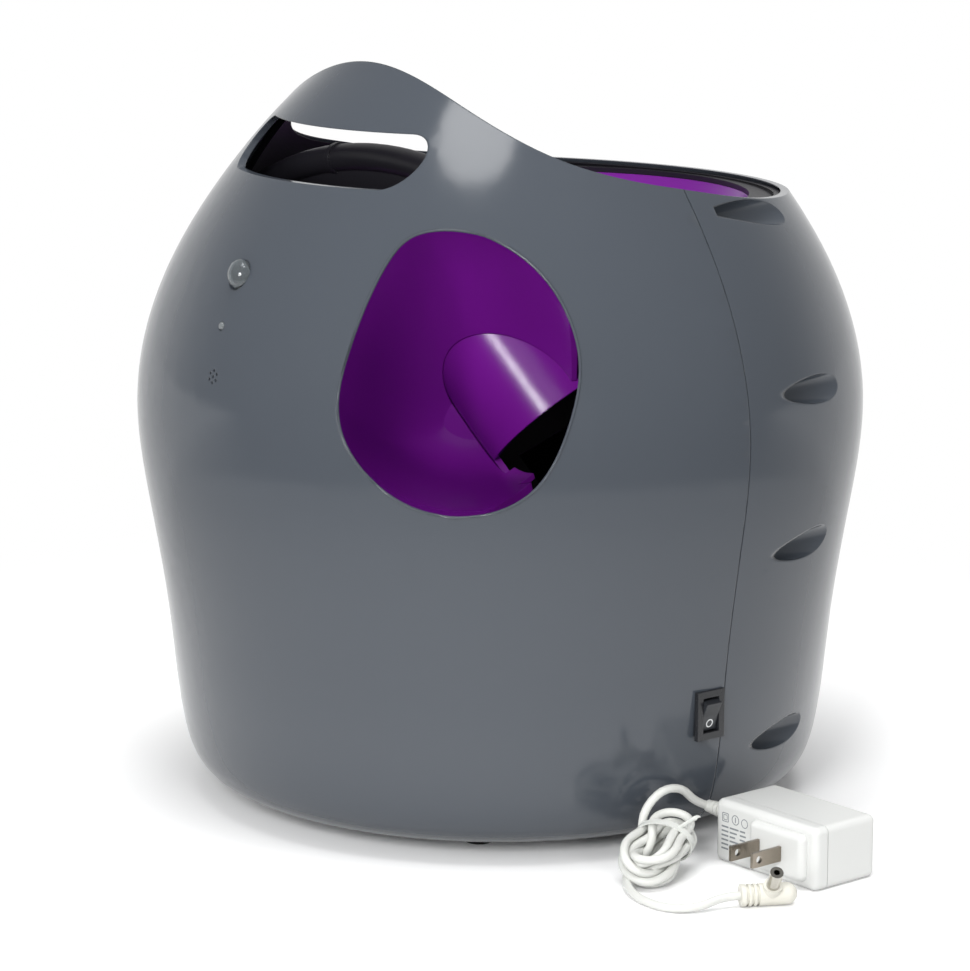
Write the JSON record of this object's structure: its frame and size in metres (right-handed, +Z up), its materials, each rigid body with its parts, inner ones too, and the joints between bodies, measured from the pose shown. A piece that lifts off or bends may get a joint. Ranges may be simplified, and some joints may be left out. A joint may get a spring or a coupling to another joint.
{
  "type": "automatic ball launcher",
  "caption": "Egg-shaped automatic ball launcher for dogs with a carrying handle, open hopper, feed tube, tilting launch cradle, geared hammer drive and its mains adapter with a coiled lead",
  "frame": {"origin": "on the floor under the housing's vertical axis", "axes": "+Z up, -Y the front with the motion sensor and the carrying handle, +X the side of the power switch and the adapter"},
  "size_m": [0.3862, 0.3218, 0.3279],
  "materials": {
    "front_shell": "glossy grey ABS",
    "rear_shell": "glossy grey ABS",
    "shell_screws": "zinc plated",
    "hopper_collar": "black ABS",
    "hopper_bowl": "purple ABS",
    "feed_tube": "purple ABS",
    "launch_cavity": "purple ABS",
    "launch_pocket": "black ABS",
    "launch_cradle": "black nylon",
    "launch_hammer": "natural acetal",
    "hammer_pad": "moulded rubber",
    "hammer_shaft": "ground steel",
    "winder_shaft": "ground steel",
    "winder_gear": "natural acetal",
    "motor_pinion": "cut brass",
    "drive_motor": "plated steel can",
    "motor_screws": "zinc plated",
    "launch_spring": "spring steel",
    "lever_hinge": "black nylon",
    "ball_lever": "natural acetal",
    "ball_switch": "black phenolic",
    "sensor_lens": "tinted polycarbonate",
    "sensor_element": "metal can",
    "status_light": "clear epoxy",
    "buzzer": "black plastic",
    "control_board": "glass-fibre laminate",
    "board_screws": "zinc plated",
    "switch_housing": "black nylon",
    "switch_rocker": "black nylon",
    "distance_dial": "purple ABS",
    "dial_spindle": "turned",
    "dial_sensor": "metal can",
    "power_jack": "black plastic",
    "base_plate": "dark ABS",
    "rubber_feet": "moulded rubber",
    "base_screws": "zinc plated",
    "battery_box": "black ABS",
    "battery_contacts": "nickel plated",
    "battery_door": "dark ABS",
    "adapter_cover": "white polycarbonate",
    "adapter_case": "white polycarbonate",
    "adapter_blades": "nickel plated brass",
    "adapter_board": "paper laminate",
    "lead_relief": "white PVC",
    "lead_from_adapter": "light grey PVC",
    "lead_to_plug": "light grey PVC",
    "lead_hank": "light grey PVC",
    "dc_plug": "white PVC",
    "dc_plug_barrel": "nickel plated",
    "cradle_stand": "black nylon",
    "cradle_shaft": "ground steel",
    "stand_screws": "zinc plated",
    "hank_tie": "clear plastic-covered wire"
  },
  "bodies": {
    "housing": {"front_shell": "front_shell", "rear_shell": "rear_shell", "shell_screws": "shell_screws", "hopper_collar": "hopper_collar", "hopper_bowl": "hopper_bowl", "feed_tube": "feed_tube", "launch_cavity": "launch_cavity", "launch_pocket": "launch_pocket", "sensor_lens": "sensor_lens", "sensor_element": "sensor_element", "status_light": "status_light", "buzzer": "buzzer", "control_board": "control_board", "board_screws": "board_screws", "switch_housing": "switch_housing", "dial_sensor": "dial_sensor", "power_jack": "power_jack", "base_plate": "base_plate", "rubber_feet": "rubber_feet", "base_screws": "base_screws", "battery_box": "battery_box", "battery_contacts": "battery_contacts", "cradle_stand": "cradle_stand", "stand_screws": "stand_screws"},
    "cradle": {"launch_cradle": "launch_cradle", "hammer_shaft": "hammer_shaft", "winder_shaft": "winder_shaft", "drive_motor": "drive_motor", "motor_screws": "motor_screws", "launch_spring": "launch_spring", "lever_hinge": "lever_hinge", "ball_lever": "ball_lever", "ball_switch": "ball_switch", "cradle_shaft": "cradle_shaft"},
    "hammer": {"launch_hammer": "launch_hammer", "hammer_pad": "hammer_pad"},
    "winder": {"winder_gear": "winder_gear"},
    "pinion": {"motor_pinion": "motor_pinion"},
    "rocker": {"switch_rocker": "switch_rocker"},
    "dial": {"distance_dial": "distance_dial", "dial_spindle": "dial_spindle"},
    "door": {"battery_door": "battery_door"},
    "adapter": {"adapter_cover": "adapter_cover", "adapter_case": "adapter_case", "adapter_blades": "adapter_blades", "adapter_board": "adapter_board", "lead_relief": "lead_relief", "lead_from_adapter": "lead_from_adapter", "lead_to_plug": "lead_to_plug", "lead_hank": "lead_hank", "dc_plug": "dc_plug", "dc_plug_barrel": "dc_plug_barrel", "hank_tie": "hank_tie"}
  },
  "joints": [
    {"name": "cradle_tilt", "type": "hinge", "parent": "housing", "child": "cradle", "pos_m": [0.101, -0.01073, 0.10277], "axis": [-1, 0, 0], "range_deg": [0, 17.5]},
    {"name": "winder_turn", "type": "hinge", "parent": "cradle", "child": "winder", "pos_m": [0.101, 0.07161, 0.06603], "axis": [1, 0, 0], "range_deg": [0, 43.75]},
    {"name": "hammer_swing", "type": "hinge", "parent": "cradle", "child": "hammer", "pos_m": [0.101, 0.04924, 0.09797], "axis": [1, 0, 0], "range_deg": [-70, 0]},
    {"name": "pinion_turn", "type": "hinge", "parent": "cradle", "child": "pinion", "pos_m": [0.101, 0.08811, 0.0946], "axis": [1, 0, 0], "range_deg": [-117, 0]},
    {"name": "power_rocker", "type": "hinge", "parent": "housing", "child": "rocker", "pos_m": [0.1442, -0.0086, 0.061], "axis": [0, -1, 0], "range_deg": [0, 18]},
    {"name": "distance_turn", "type": "hinge", "parent": "housing", "child": "dial", "pos_m": [-0.03, 0.14, 0.13], "axis": [0, -1, 0], "range_deg": [0, 270]},
    {"name": "battery_door_swing", "type": "hinge", "parent": "housing", "child": "door", "pos_m": [-0.0653, 0, 0.0034], "axis": [0, 1, 0], "range_deg": [0, 90]},
    {"name": "adapter_away", "type": "slide", "parent": "housing", "child": "adapter", "axis": [1, 0, 0], "range_m": [0, 0.2]}
  ],
  "couplings": [
    {"joint": "hammer_swing", "follows": "winder_turn", "ratio": -1.6},
    {"joint": "pinion_turn", "follows": "winder_turn", "ratio": -2.6667}
  ]
}
